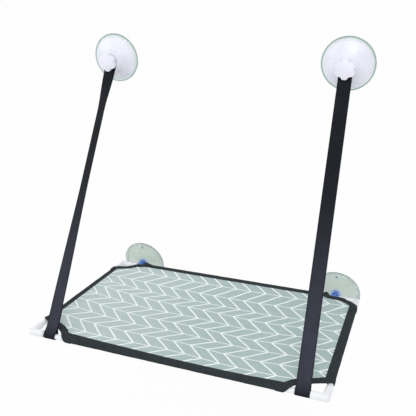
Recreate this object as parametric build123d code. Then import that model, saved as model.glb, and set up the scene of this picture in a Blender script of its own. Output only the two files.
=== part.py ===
from build123d import *
import math
import os

# A perch for a cat that hangs on a window pane: a cloth sling on a tube frame, carried at the
# rear by two lower suction cups and at the front by two webbing straps from two upper cups.
#
# Frame: +X to the right seen from the room, +Y into the glass, +Z up. The origin lies on the
# glass, midway between the two lower cups. Lengths are in millimetres, angles in degrees.
# The tube frame is drawn level with its rear tube on the X axis, then tilted and moved to rest.

# Layout
frame_width = 571.0
frame_depth = 361.0
rest_tilt = 10.5
upper_cup_height = 508.0
upper_cup_inset = 45.5
hanger_inset = 47.5
strap_elbow_gap = 0.5
overrun = 40.0

# Tubes and elbows
tube_diameter = 10.0
tube_wall = 1.2
elbow_wall = 1.6
elbow_ball_swell = 0.2
elbow_leg = 25.5
elbow_stop = 11.5
elbow_mouth_chamfer = 0.5
push_fit = 0.05
elbow_radius = tube_diameter / 2 + push_fit + elbow_wall

# Sling: black sleeves on the tubes, a printed panel on top, tape folded over each corner cut
sleeve_gap = 0.3
sleeve_cloth = 0.8
panel_gap = 0.3
panel_cloth = 1.0
panel_sag = 12.0
panel_edge_overlap = 5.0
tape_cloth = 0.8
tape_gap = 0.3
tape_width = 13.0
sag_shares = (-1.0, -0.75, -0.5, -0.25, 0.0, 0.25, 0.5, 0.75, 1.0)

# Corner cuts of the sling, seen from above: how far each cut reaches along its two tubes from
# the crossing of their centrelines, and the points of its edge as shares of those two reaches
front_cut_reach = 71.5
front_cut_rise = 40.0
front_cut_round = 3.0
front_cut_shares = ((1.0, -0.50), (0.91, -0.05), (0.785, 0.24), (0.545, 0.50), (0.195, 0.775), (-0.2, 1.0))
rear_cut_reach = 59.5
rear_cut_rise = 42.0
rear_cut_round = 3.0
rear_cut_shares = ((1.0, -0.50), (0.99, 0.04), (0.95, 0.18), (0.66, 0.185), (0.40, 0.50), (-0.20, 0.95))

# Hangers: a closed collar that turns on the rear tube, on a stem held in the lower cup's neck
collar_wall = 3.0
collar_width = 14.0
collar_neck_gap = 0.7
turning_fit = 0.05
collar_edge_round = 1.0
stem_diameter = 10.0
stem_button_diameter = 14.0
stem_button_thickness = 2.5
stem_button_standoff = 8.5
moulded_fit = 0.1

# Lower suction cups
lower_cup_diameter = 105.0
lower_cup_lip = 1.5
lower_cup_rim_width = 6.5
lower_cup_hollow = 5.5
lower_cup_top = 15.3
lower_neck_diameter = 21.0
lower_neck_foot_diameter = 30.0
lower_neck_foot_height = 9.5
lower_cup_shoulder_share = 0.62
lower_cup_shoulder_height = 5.2
pull_nub_diameter = 4.0
pull_nub_height = 3.0
pull_nub_standoff = 2.0
pull_nub_inset = 10.5

# Upper suction cups
upper_cup_diameter = 100.0
upper_cup_lip = 1.4
upper_cup_rim_width = 6.0
upper_cup_hollow = 6.0
upper_cup_top = 17.0
upper_neck_diameter = 26.0
upper_neck_foot_diameter = 30.0
upper_neck_foot_height = 12.0
upper_cup_shoulder_share = 0.70
upper_cup_shoulder_height = 6.0

# Covers over the upper cups: a shallow dome with a raised boss that the strap is clamped against
cover_diameter = 86.0
cover_wall = 2.2
cover_seat_gap = 0.8
cover_dome_bulge = 1.0
cover_dome_flare = 3.5
cover_dome_clearance = 2.5
cover_boss_diameter = 35.0
cover_boss_flare = 3.0
cover_boss_foot_rise = 4.5
cover_boss_rise = 9.0

# Studs: a flat head moulded into the upper cup's neck, and a shank through cover, strap and knob
stud_diameter = 8.0
stud_head_diameter = 18.0
stud_head_thickness = 2.5
stud_head_standoff = 8.5
stud_end_chamfer = 0.8
stud_hole_clearance = 0.3

# Washers and knobs
clamp_gap = 0.1
washer_diameter = 22.0
washer_thickness = 1.5
knob_diameter = 37.0
knob_length = 14.0
knob_hub_diameter = 24.0
knob_taper_length = 5.0
knob_crown_drop = 2.4
knob_lobes = 6
knob_scallop_diameter = 13.0
knob_scallop_bite = 3.0
knob_lobe_round = 2.5
knob_cap_thickness = 3.4
thread_fit = 0.05

# Straps: webbing clamped flat behind the knob, and looped round the front tube at the lower end
strap_width = 25.0
strap_thickness = 1.6
strap_end_above_stud = 13.0
strap_bend_below_stud = 13.0
strap_tube_gap = 0.3
strap_layer_gap = 0.1
strap_loop_point = 12.0
strap_sewn_overlap = 42.0

# Worked out from the sizes above
half_width = frame_width / 2
tube_radius = tube_diameter / 2
tube_bore_radius = tube_radius - tube_wall
sleeve_inner_radius = tube_radius + sleeve_gap
sleeve_outer_radius = sleeve_inner_radius + sleeve_cloth
panel_underside = sleeve_outer_radius + panel_gap
panel_top = panel_underside + panel_cloth
collar_diameter = tube_diameter + 2 * (turning_fit + collar_wall)
rear_tube_standoff = lower_cup_top + collar_neck_gap + collar_diameter / 2
upper_cup_spread = frame_width - 2 * upper_cup_inset
lower_cup_spread = frame_width - 2 * hanger_inset
strap_spread = frame_width - 2 * (elbow_leg + strap_elbow_gap) - strap_width
upper_cup_flank = upper_cup_diameter / 2 * (1 - upper_cup_shoulder_share)
upper_cup_slope = (upper_cup_shoulder_height - upper_cup_lip) / upper_cup_flank
cover_rim_inset = (upper_cup_diameter - cover_diameter) / 2 + cover_wall
cover_rim_standoff = upper_cup_lip + upper_cup_slope * cover_rim_inset + cover_seat_gap
cover_dome_height = upper_neck_foot_height + cover_dome_clearance
cover_boss_foot_height = cover_dome_height + cover_boss_foot_rise
cover_boss_height = cover_boss_foot_height + cover_boss_rise
cover_boss_foot_diameter = cover_boss_diameter + 2 * cover_boss_flare
cover_dome_diameter = cover_boss_foot_diameter + 2 * cover_dome_flare
strap_plane = cover_boss_height + clamp_gap
washer_plane = strap_plane + strap_thickness + clamp_gap
knob_plane = washer_plane + washer_thickness + clamp_gap
knob_face = knob_plane + knob_length
stud_end_standoff = knob_face - knob_cap_thickness
stud_hole_radius = stud_diameter / 2 + stud_hole_clearance

os.makedirs("parts", exist_ok=True)


def at_rest(shape):
    """Tilts a shape of the level frame about the rear tube and moves it to its place."""
    return Pos(0, -rear_tube_standoff, 0) * Rot(-rest_tilt, 0, 0) * shape


def on_glass(shape, across, height):
    """Moves a shape that was turned about the Y axis to its place on the glass."""
    return Pos(across, 0, height) * shape


def turned(outline):
    """Revolves an outline about the Y axis. Its points are (radius, -standoff from the glass)."""
    return revolve(make_face(outline), Axis.Y)


def disc(diameter, near, far):
    """A disc about the Y axis, from one standoff from the glass to another."""
    return turned(Polyline((0, -near), (diameter / 2, -near), (diameter / 2, -far), (0, -far), close=True))


def rod(radius, start, end, direction):
    """A round bar along X or Y from one coordinate to another."""
    plane = Plane.YZ if direction == "X" else Plane.XZ
    offset = start if direction == "X" else -start
    length = end - start if direction == "X" else start - end
    return extrude(plane.offset(offset) * Circle(radius), length)


def hollow_rod(outer, inner, start, end, direction):
    """A round tube along X or Y from one coordinate to another."""
    return rod(outer, start, end, direction) - rod(inner, start, end, direction)


def both_sides(name, shape):
    """Writes a left-hand shape and its mirror image about the YZ plane."""
    export_step(shape, f"parts/{name.replace('SIDE', 'left')}.step")
    export_step(mirror(shape, Plane.YZ), f"parts/{name.replace('SIDE', 'right')}.step")


# Tubes

tube_end = half_width - elbow_stop
front_tube = Pos(0, -frame_depth, 0) * hollow_rod(tube_radius, tube_bore_radius, -tube_end, tube_end, "X")
rear_tube = hollow_rod(tube_radius, tube_bore_radius, -tube_end, tube_end, "X")
side_start = elbow_stop - frame_depth
side_tube = Pos(-half_width, 0, 0) * hollow_rod(tube_radius, tube_bore_radius, side_start, -elbow_stop, "Y")
export_step(at_rest(front_tube), "parts/front_tube.step")
export_step(at_rest(rear_tube), "parts/rear_tube.step")
both_sides("SIDE_side_tube", at_rest(side_tube))


# Elbows: two legs that meet in a ball, bored through, with a socket for a tube in each leg

def elbow():
    """An elbow at the origin, its legs along +X and +Y."""
    legs = rod(elbow_radius, 0, elbow_leg, "X") + rod(elbow_radius, 0, elbow_leg, "Y")
    mouths = [legs.edges().sort_by(Axis.X)[-1], legs.edges().sort_by(Axis.Y)[-1]]
    body = chamfer(mouths, elbow_mouth_chamfer) + Sphere(elbow_radius + elbow_ball_swell)
    passage = rod(tube_bore_radius, 0, elbow_leg, "X") + rod(tube_bore_radius, 0, elbow_leg, "Y")
    socket_radius = tube_radius + push_fit
    sockets = rod(socket_radius, elbow_stop, elbow_leg, "X") + rod(socket_radius, elbow_stop, elbow_leg, "Y")
    return body - passage - Sphere(tube_bore_radius) - sockets


elbow_places = {"front_left": Pos(-half_width, -frame_depth, 0),
                "front_right": Pos(half_width, -frame_depth, 0),
                "rear_right": Pos(half_width, 0, 0),
                "rear_left": Pos(-half_width, 0, 0)}
for quarter, (corner, place) in enumerate(elbow_places.items()):
    export_step(at_rest(place * Rot(0, 0, 90 * quarter) * elbow()), f"parts/{corner}_elbow.step")


# Sling

def corner_cut(reach, rise, shares, rounding):
    """The corner that is cut away, in X inward from the side tube and Y inward from the end tube."""
    edge = [(reach * u, rise * v) for u, v in shares]
    outside = [(-overrun, edge[-1][1]), (-overrun, -overrun), (edge[0][0], -overrun)]
    return make_face(FilletPolyline(*edge, *outside, radius=rounding, close=True))


def corner_places(cut, rear):
    """The cut in plan view at the left and right corners of the rear or front of the frame."""
    left = Pos(-half_width, 0) * mirror(cut, Plane.XZ) if rear else Pos(-half_width, -frame_depth) * cut
    return left, mirror(left, Plane.YZ)


def upright(plan):
    """A plan shape as a block tall enough to cut all of the cloth."""
    return extrude(Pos(0, 0, -overrun) * plan, 2 * overrun)


def on_all_tubes(along_x, along_y):
    """A shape on the rear and front tubes, and one on the left and right tubes, as a list."""
    left = Pos(-half_width, 0, 0) * along_y
    return [along_x, Pos(0, -frame_depth, 0) * along_x, left, mirror(left, Plane.YZ)]


def collar_space(skin):
    """The left hanger's collar, grown by a skin."""
    return rod(collar_diameter / 2 + skin, -collar_outer_side - skin, skin - collar_inner_side, "X")


def cloth_body(skin):
    """What the left corner tapes lie on, grown by a skin: the sleeves, the panel and the collar."""
    radius = sleeve_outer_radius + skin
    sleeves = on_all_tubes(rod(radius, -half_width, half_width, "X"), rod(radius, -frame_depth, 0, "Y"))
    low = panel_underside - skin
    plan = Pos(0, -frame_depth / 2, low) * Rectangle(frame_width, frame_depth)
    slab = extrude(plan, panel_top + skin - low)
    return slab + sleeves + collar_space(skin)


collar_inner_side = (lower_cup_spread - collar_width) / 2
collar_outer_side = (lower_cup_spread + collar_width) / 2
collar_room = collar_space(tape_gap)
tube_room = on_all_tubes(rod(sleeve_inner_radius, -half_width, half_width, "X"),
                         rod(sleeve_inner_radius, -frame_depth, 0, "Y"))

front_cut = corner_cut(front_cut_reach, front_cut_rise, front_cut_shares, front_cut_round)
rear_cut = corner_cut(rear_cut_reach, rear_cut_rise, rear_cut_shares, rear_cut_round)
cuts = [*corner_places(front_cut, False), *corner_places(rear_cut, True)]
cut_blocks = [upright(cut) for cut in cuts]

sleeve_x = hollow_rod(sleeve_outer_radius, sleeve_inner_radius, -half_width, half_width, "X")
sleeve_y = hollow_rod(sleeve_outer_radius, sleeve_inner_radius, -frame_depth, 0, "Y")
front_sleeve = Pos(0, -frame_depth, 0) * sleeve_x - cut_blocks
collar_side_room = rod(collar_diameter, -half_width, tape_gap - collar_inner_side, "X")
rear_sleeve = sleeve_x - cut_blocks - [collar_side_room, mirror(collar_side_room, Plane.YZ)]
left_sleeve = Pos(-half_width, 0, 0) * sleeve_y - cut_blocks
export_step(at_rest(front_sleeve), "parts/front_sleeve.step")
export_step(at_rest(rear_sleeve), "parts/rear_sleeve.step")
both_sides("SIDE_sleeve", at_rest(left_sleeve))


def sag_point(u, v):
    """A point of the panel's underside, u across and v along, each from -1 to 1."""
    drop = panel_sag * (1 - u ** 2) ** 2 * (1 - v ** 2) ** 2
    return Vector(half_width * u, frame_depth / 2 * (v - 1), panel_underside - drop)


sag_grid = [[sag_point(u, v) for v in sag_shares] for u in sag_shares]
underside = Face.make_surface_from_array_of_points(sag_grid)
panel_plan = Pos(0, -frame_depth / 2) * Rectangle(frame_width - panel_edge_overlap, frame_depth)
sheet = thicken(underside, panel_cloth)
panel = sheet & upright(panel_plan)
panel = panel - cut_blocks - [collar_room, mirror(collar_room, Plane.YZ)]
export_step(at_rest(panel), "parts/sling_panel.step")


def corner_tape(cut):
    """Tape folded over the edge of one corner cut, on top of the sleeves and round the panel."""
    band = offset(cut, tape_width) - offset(cut, -tape_gap - tape_cloth)
    outside = cloth_body(tape_gap + tape_cloth) & upright(band)
    inside = cloth_body(tape_gap) & upright(offset(cut, tape_width + overrun) - offset(cut, -tape_gap))
    return outside - inside - tube_room - collar_room


front_tape = corner_tape(cuts[0])
rear_tape = corner_tape(cuts[2])
both_sides("front_SIDE_tape", at_rest(front_tape))
both_sides("rear_SIDE_tape", at_rest(rear_tape))


# Lower suction cups and hangers

def cup(diameter, lip, rim_width, hollow, shoulder_share, shoulder_height, foot, neck, top):
    """A soft cup: a flat sealing rim on the glass, a shallow hollow, a sloping shoulder and a neck.
    The foot and the neck are (diameter, height); the neck's height is given by the cup's top."""
    radius = diameter / 2
    rim_radius = radius - rim_width
    shoulder = (radius * shoulder_share, -shoulder_height)
    back = Spline((radius, -lip), shoulder, (foot[0] / 2, -foot[1]))
    side = Polyline((foot[0] / 2, -foot[1]), (neck / 2, -foot[1]), (neck / 2, -top), (0, -top), (0, -hollow))
    front = TangentArc((0, -hollow), (rim_radius, 0), tangent=(1, 0))
    rim = Polyline((rim_radius, 0), (radius, 0), (radius, -lip))
    return turned(back + side + front + rim)


button_top = stem_button_standoff + stem_button_thickness
button = disc(stem_button_diameter, stem_button_standoff, button_top)
stem = disc(stem_diameter, button_top, rear_tube_standoff)
collar = rod(collar_diameter / 2, -collar_width / 2, collar_width / 2, "X")
collar = fillet(collar.edges().filter_by(GeomType.CIRCLE), collar_edge_round)
collar_bore = rod(tube_radius + turning_fit, -collar_width, collar_width, "X")
collar_place = Pos(0, -rear_tube_standoff, 0)
hanger = button + stem + collar_place * collar - collar_place * collar_bore
both_sides("SIDE_hanger", on_glass(hanger, -lower_cup_spread / 2, 0))

lower_cup = cup(lower_cup_diameter, lower_cup_lip, lower_cup_rim_width, lower_cup_hollow,
                lower_cup_shoulder_share, lower_cup_shoulder_height,
                (lower_neck_foot_diameter, lower_neck_foot_height), lower_neck_diameter, lower_cup_top)
button_near = stem_button_standoff - moulded_fit
button_room = disc(stem_button_diameter + 2 * moulded_fit, button_near, button_top + moulded_fit)
stem_room = disc(stem_diameter + 2 * moulded_fit, button_top, rear_tube_standoff)
nub = disc(pull_nub_diameter, pull_nub_standoff, pull_nub_standoff + pull_nub_height)
nub = Pos(0, 0, lower_cup_diameter / 2 - pull_nub_inset) * nub
lower_cup = lower_cup + nub - button_room - stem_room
both_sides("lower_SIDE_cup", on_glass(lower_cup, -lower_cup_spread / 2, 0))


# Upper suction cups, covers and studs

upper_cup = cup(upper_cup_diameter, upper_cup_lip, upper_cup_rim_width, upper_cup_hollow,
                upper_cup_shoulder_share, upper_cup_shoulder_height,
                (upper_neck_foot_diameter, upper_neck_foot_height), upper_neck_diameter, upper_cup_top)
head_top = stud_head_standoff + stud_head_thickness
stud_head = disc(stud_head_diameter, stud_head_standoff, head_top)
stud = stud_head + disc(stud_diameter, head_top, stud_end_standoff)
stud = chamfer(stud.edges().sort_by(Axis.Y)[0], stud_end_chamfer)
head_near = stud_head_standoff - moulded_fit
head_room = disc(stud_head_diameter + 2 * moulded_fit, head_near, head_top + moulded_fit)
shank_room = disc(stud_diameter + 2 * moulded_fit, head_top, stud_end_standoff)
upper_cup = upper_cup - head_room - shank_room

cover_top = cover_boss_height - cover_wall
cover_waist = cover_dome_height - cover_wall
rim_outer = (cover_diameter / 2, -cover_rim_standoff)
rim_inner = (cover_diameter / 2 - cover_wall, -cover_rim_standoff)
dome_outer = (cover_dome_diameter / 2, -cover_dome_height)
dome_inner = (cover_dome_diameter / 2 - cover_wall, -cover_waist)
boss_outer = [(cover_boss_foot_diameter / 2, -cover_boss_foot_height),
              (cover_boss_diameter / 2, -cover_boss_height)]
boss_inner = [(cover_boss_diameter / 2 - cover_wall, -cover_top),
              (cover_boss_foot_diameter / 2 - cover_wall, cover_wall / 2 - cover_boss_foot_height)]
boss_hole = [(stud_hole_radius, -cover_boss_height), (stud_hole_radius, -cover_top)]
outer_dome = SagittaArc(rim_outer, dome_outer, cover_dome_bulge)
cover_boss = Polyline(dome_outer, *boss_outer, *boss_hole, *boss_inner, dome_inner)
inner_dome = SagittaArc(dome_inner, rim_inner, -cover_dome_bulge)
cover = turned(outer_dome + cover_boss + inner_dome + Line(rim_inner, rim_outer))
both_sides("upper_SIDE_cup", on_glass(upper_cup, -upper_cup_spread / 2, upper_cup_height))
both_sides("SIDE_cover", on_glass(cover, -upper_cup_spread / 2, upper_cup_height))
both_sides("SIDE_stud", on_glass(stud, -upper_cup_spread / 2, upper_cup_height))


# Washers and lobed knobs

washer = disc(washer_diameter, washer_plane, washer_plane + washer_thickness)
washer = washer - disc(2 * stud_hole_radius, washer_plane, washer_plane + washer_thickness)
grip_edge = (knob_diameter / 2, -(knob_face - knob_crown_drop))
knob_back = Polyline((0, -knob_face), (0, -knob_plane), (knob_hub_diameter / 2, -knob_plane),
                     (knob_diameter / 2, -(knob_plane + knob_taper_length)), grip_edge)
crown = TangentArc((0, -knob_face), grip_edge, tangent=(1, 0))
scallop_place = (knob_diameter + knob_scallop_diameter) / 2 - knob_scallop_bite
scallops = PolarLocations(scallop_place, knob_lobes) * Circle(knob_scallop_diameter / 2)
lobed = Circle(knob_diameter / 2) - scallops
lobed = fillet(lobed.vertices(), knob_lobe_round)
grip = extrude(Plane.XZ.offset(knob_plane) * lobed, knob_length)
knob = turned(knob_back + crown) & grip
knob = knob - disc(stud_diameter + 2 * thread_fit, knob_plane, stud_end_standoff + clamp_gap)
both_sides("SIDE_washer", on_glass(washer, -upper_cup_spread / 2, upper_cup_height))
both_sides("SIDE_knob", on_glass(knob, -upper_cup_spread / 2, upper_cup_height))


# Straps, drawn in the YZ plane: along the strap from the front tube's centre up to the bend

front_centre = (-rear_tube_standoff - frame_depth * math.cos(math.radians(rest_tilt)),
                frame_depth * math.sin(math.radians(rest_tilt)))
bend = (-(strap_plane + strap_thickness / 2), upper_cup_height - strap_bend_below_stud)
run_length = math.dist(front_centre, bend)
run_angle = math.degrees(math.atan2(bend[1] - front_centre[1], bend[0] - front_centre[0]))
lean = math.degrees(math.asin((strap_spread - upper_cup_spread) / 2 / run_length))


def teardrop(radius, point):
    """A circle drawn out to a point at this distance along +X."""
    touch = math.acos(radius / point)
    kite = [(point, 0), (radius * math.cos(touch), radius * math.sin(touch)), (0, 0),
            (radius * math.cos(touch), -radius * math.sin(touch))]
    return Circle(radius) + make_face(Polyline(*kite, close=True))


loop_inner_radius = tube_radius + strap_tube_gap
loop_outer_radius = loop_inner_radius + strap_thickness
loop_outer_point = strap_loop_point * loop_outer_radius / loop_inner_radius
loop_plan = teardrop(loop_outer_radius, loop_outer_point) - teardrop(loop_inner_radius, strap_loop_point)
layer_offset = (strap_thickness + strap_layer_gap) / 2
second_layer = Rectangle(strap_sewn_overlap, strap_thickness, align=(Align.MIN, Align.CENTER))
second_layer = Pos(strap_loop_point, -layer_offset) * second_layer
run_direction = (0, math.cos(math.radians(run_angle)), math.sin(math.radians(run_angle)))
strap_side = Plane(origin=(0, *front_centre), x_dir=run_direction, z_dir=(1, 0, 0))
loop = extrude(strap_side * (loop_plan + second_layer), strap_width / 2, both=True)
run_start = strap_loop_point
along = (Align.MIN, Align.CENTER, Align.CENTER)
run_block = Box(run_length - run_start, strap_thickness, strap_width, align=along)
run_place = Pos(run_start, layer_offset, 0)
run = strap_side.location * (Rot(0, -lean, 0) * run_place * run_block)
clamp_height = strap_end_above_stud + strap_bend_below_stud
upward = (Align.CENTER, Align.CENTER, Align.MIN)
clamped = Box(strap_width, strap_thickness, clamp_height, align=upward)
clamped = Pos(-upper_cup_spread / 2, bend[0], bend[1]) * clamped
stud_hole = disc(2 * stud_hole_radius, 0, stud_end_standoff)
stud_hole = on_glass(stud_hole, -upper_cup_spread / 2, upper_cup_height)
strap = Pos(-strap_spread / 2, 0, 0) * (loop + run) + clamped - stud_hole
both_sides("SIDE_strap", strap)
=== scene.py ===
import math

import bpy
import numpy as np
from bpy.props import FloatProperty, FloatVectorProperty, IntProperty, PointerProperty
from bpy.types import Operator, Panel, PropertyGroup
from mathutils import Matrix, Vector
from mathutils.geometry import delaunay_2d_cdt


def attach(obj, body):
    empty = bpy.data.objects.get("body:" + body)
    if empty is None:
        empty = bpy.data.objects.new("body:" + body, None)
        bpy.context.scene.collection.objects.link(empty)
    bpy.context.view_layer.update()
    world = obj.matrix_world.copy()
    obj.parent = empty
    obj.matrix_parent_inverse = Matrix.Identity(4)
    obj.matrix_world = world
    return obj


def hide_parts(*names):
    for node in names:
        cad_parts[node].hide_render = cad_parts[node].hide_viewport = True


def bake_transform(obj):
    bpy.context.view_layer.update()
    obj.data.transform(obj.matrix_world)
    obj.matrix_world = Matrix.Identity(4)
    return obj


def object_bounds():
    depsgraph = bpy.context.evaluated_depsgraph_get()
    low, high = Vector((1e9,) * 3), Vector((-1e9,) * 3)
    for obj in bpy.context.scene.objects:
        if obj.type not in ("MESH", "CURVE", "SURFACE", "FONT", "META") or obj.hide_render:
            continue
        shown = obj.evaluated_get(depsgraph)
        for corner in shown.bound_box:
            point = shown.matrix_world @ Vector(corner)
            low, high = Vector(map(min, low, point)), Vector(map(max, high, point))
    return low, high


bl_info = {
    "name": "Window Cat Perch",
    "version": (1, 0, 0),
    "blender": (4, 5, 0),
    "location": "View3D > Sidebar > Perch",
    "description": "Sews the sling, threads the straps and finishes every fitting of a window cat perch",
    "category": "Object",
}

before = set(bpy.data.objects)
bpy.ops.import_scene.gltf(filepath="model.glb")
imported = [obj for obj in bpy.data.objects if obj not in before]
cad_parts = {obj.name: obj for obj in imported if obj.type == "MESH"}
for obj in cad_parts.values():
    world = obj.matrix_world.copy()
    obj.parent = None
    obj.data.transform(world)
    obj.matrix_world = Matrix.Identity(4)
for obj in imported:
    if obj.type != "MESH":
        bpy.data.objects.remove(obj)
cad_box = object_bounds()

# The frame of tubes, in millimetres, level and with the rear tube on the X axis. It is the frame
# of part.py before the perch is tilted to rest.
HALF_WIDTH = 285.5
DEPTH = 361.0
TILT = math.radians(10.5)
REAR_STANDOFF = 24.05

# Places on the glass: the studs with the upper cups, the lower cups and their nubs; and the radii,
# in metres, between which the tint of a lower cup's neck ends
SIDES = {"left": -1, "right": 1}
STUD_X = 240.0
STUD_HEIGHT = 508.0
LOWER_X = 238.0
NUB_HEIGHT = 42.0
NECK_RADII = (0.0095, 0.0135)

# Sleeves: the outer radius, the radius of the flat cloth laid over a tube, the swell over the crest,
# and how far the ends are tucked under the corner tapes
SLEEVE_RADIUS = 6.1
CLOTH_RADIUS = 6.5
SLEEVE_SWELL = 1.35
SLEEVE_TUCK = 0.6
SLEEVE_END = math.radians(325)
SLEEVE_TURNS = 56

# The printed panel on the flat cloth: where it ends below the sleeves, the spacing of its points and
# how far they stay off its outline, its creases, and its weave in metres
PANEL_SIDE = HALF_WIDTH - 1.5
PANEL_FRONT = -DEPTH + 0.3
PANEL_BACK = -2.5
PANEL_SPACING = 6.0
PANEL_CLEAR = 1.6
CREASE_HEIGHT = 0.25
CREASE_LENGTH = 31.0
PANEL_WEAVE = 0.00055

# The bump of the rear tapes beside the hangers' collars
HUMP_RADIUS = 10.5
HUMP_CENTRE = 221.5
HUMP_HALF_WIDTH = 3.0
HUMP_FADE = 4.0
HUMP_END = 6.0

# Tapes: how far a layer lies from the panel's middle, how much further over a sleeve, and how far
# the tape stays off the cut
TAPE_LIFT = 0.75
TAPE_RISE = 0.9
TAPE_GAP = 0.1

# Corner cuts, as on the left side. "end" and "side" give where the cut ends the cloth along the end
# tube (its x) and along the side tube (its y), each with an angle in degrees from the tube's crest
# round its outer side to its underside. "middle" is the edge across the corner, in plan.
CORNERS = {
    "front_left": {
        "end": ((0, -217), (15, -215.7), (83, -211), (143, -208), (180, -206)),
        "middle": ((-224.9, -351.7), (-236.7, -342), (-241.5, -339), (-273.3, -325.5)),
        "side": ((0, -318), (50, -313), (90, -309), (180, -306))},
    "front_right": {
        "end": ((0, -226.7), (12, -225.9), (44, -223.3), (90, -219), (143, -215), (180, -213)),
        "middle": ((-234.7, -351.1), (-256.6, -339.8), (-269.7, -333.5), (-279, -330)),
        "side": ((0, -326), (60, -322), (105, -319.5), (180, -316))},
    "rear_left": {
        "end": ((0, -221), (180, -220)),
        "middle": ((-222, -1), (-226, -3), (-230, -6.6), (-240, -9), (-246, -13), (-257.8, -26.9),
                   (-275.4, -35.1)),
        "side": ((0, -41.5), (50, -40), (90, -38), (180, -36))},
    "rear_right": {
        "end": ((0, -221), (180, -220)),
        "middle": ((-222, -1), (-226, -3), (-230, -6.6), (-246, -7.2), (-259, -9), (-274, -18)),
        "side": ((0, -29), (60, -33), (105, -38), (180, -36))},
}

# How far the front sleeve laps onto the print: (x, lap)
FRONT_LAP = ((-206, 10.8), (-137, 7.0), (-73, 4.8), (-11, 2.8), (47, 1.8), (103, 1.8), (156, 3.0),
             (207, 6.5))

# Straps: the top end, the bend below the clamp and the front tube's axis, in the YZ plane; then the
# loop round the tube, the point from which the run touches it, and where its two layers meet. The
# strap bends between two shares of its run.
STRAP_TOP = 517.5
STRAP_BEND = (-28.9, 495.0)
STRAP_TUBE = (-DEPTH * math.cos(TILT) - REAR_STANDOFF, DEPTH * math.sin(TILT))
LEFT_TUBE_X = 243.2
RIGHT_TUBE_X = 247.0
LAYER_OFFSET = 0.85
LOOP_RADIUS = 5.3
LOOP_POINT = 13.8
LAYERS_MEET = 16
SEWN_START = 12


def screen(*levels):
    """A colour as a screen shows it, from 0 to 255, as linear light."""
    shares = [level / 255 for level in levels]
    return tuple(c / 12.92 if c <= 10 / 255 else ((c + 0.055) / 1.055) ** 2.4 for c in shares)


def tint(colour, share):
    """A colour made darker or lighter by a factor."""
    return tuple(min(1, c * share) for c in colour)


def paint(name, description, colour):
    """A colour setting."""
    return FloatVectorProperty(name=name, description=description, default=colour, subtype="COLOR",
                               min=0, max=1)


def swivel(name, description, degrees):
    """An angle setting."""
    return FloatProperty(name=name, description=description, default=math.radians(degrees),
                         subtype="ANGLE", unit="ROTATION")


def length(name, description, default, low, high):
    """A length setting in metres."""
    return FloatProperty(name=name, description=description, default=default, min=low, max=high,
                         unit="LENGTH", subtype="DISTANCE", precision=4)


class SlingSettings(PropertyGroup):
    """Sizes and colours of the sling."""
    sag: length("Sag", "How far the middle of the panel hangs below its edges", 0.012, 0, 0.03)
    panel_cloth: length("Panel cloth", "Thickness of the printed cloth", 0.0008, 0.0003, 0.002)
    sleeve_cloth: length("Sleeve cloth", "Thickness of the black cloth", 0.0008, 0.0003, 0.002)
    tape_cloth: length("Tape", "Thickness of the binding tape", 0.0007, 0.0003, 0.002)
    tape_width: length("Tape width", "Width of the tape on each side of a cut edge", 0.013, 0.006, 0.02)
    rear_flap: length("Rear flap", "How far the rear sleeve laps onto the panel", 0.0135, 0.006, 0.03)
    side_flap: length("Side flap", "How far the side sleeves lap onto the panel", 0.0098, 0.002, 0.02)
    row_height: length("Row height", "Height of one row of the herringbone", 0.0365, 0.01, 0.1)
    row_start: length("Row start", "Where the first row starts", -0.0427, -0.1, 0.1)
    row_pitch: length("Line pitch", "Distance between two lines of a row", 0.0345, 0.01, 0.1)
    row_shift: length("Line shift", "Sideways place of the lines", -0.0112, -0.1, 0.1)
    line_width: length("Line width", "Width of a printed line", 0.0035, 0.0005, 0.01)
    ground: paint("Ground", "Printed ground between the lines", screen(168, 192, 188))
    ground_warm: paint("Warm ground", "Warmer patches of the ground", screen(178, 194, 197))
    line: paint("Lines", "Printed lines", screen(246, 254, 252))
    reverse: paint("Reverse", "Unprinted side of the panel", screen(205, 214, 212))
    black: paint("Black cloth", "Cloth of the sleeves and tapes", screen(54, 60, 63))


class StrapSettings(PropertyGroup):
    """Sizes and colours of the straps."""
    width: length("Width", "Width of the webbing", 0.025, 0.01, 0.05)
    thickness: length("Thickness", "Thickness of the webbing", 0.0016, 0.0005, 0.004)
    overlap: length("Sewn overlap", "Length of the layer that is sewn back", 0.042, 0.02, 0.1)
    rib: length("Rib pitch", "Distance between two ribs of the weave", 0.0011, 0.0005, 0.005)
    left_twist: swivel("Left twist", "How far the left strap is turned in its run", 27)
    right_twist: swivel("Right twist", "How far the right strap is turned in its run", 0)
    # Painted light: web_lit is a lit copy of the webbing for the run near the front tube; web is the lit
    # yarn top
    web_lit: paint("Lit webbing", "Webbing near the front tube, in the light", screen(74, 77, 90))
    web: paint("Webbing", "Lit yarn of the webbing", screen(32, 35, 40))


class FittingSettings(PropertyGroup):
    """Colours of the fittings and the cups."""
    pipe: paint("Tubes", "White pipe", screen(240, 244, 247))
    elbow: paint("Elbows", "White fittings", screen(240, 243, 247))
    cover: paint("Covers", "White covers", screen(236, 238, 249))
    knob: paint("Knobs", "White knobs", screen(240, 239, 252))
    cup: paint("Cups", "Clear soft plastic", screen(226, 238, 233))
    # Painted shade: the rim colours stand in for the darker edge that the clear cups show from the side
    rim: paint("Cup rims", "Rim of the clear plastic", screen(156, 181, 174))
    low_cup: paint("Lower cups", "Clear soft plastic of the lower cups", screen(208, 222, 214))
    # Painted shade at the edge of the lower cups
    low_rim_shade: paint("Lower cup rims", "Rim of the lower cups", screen(150, 165, 185))
    hanger: paint("Hangers", "Clear blue plastic", screen(150, 184, 245))
    steel: paint("Steel", "Plated steel", screen(200, 200, 204))
    nub: paint("Nub", "Pull nub of a lower cup", screen(140, 155, 205))
    cup_segments: IntProperty(name="Cup segments", description="Sides of a turned cup", default=128,
                              min=24, max=512)


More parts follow.
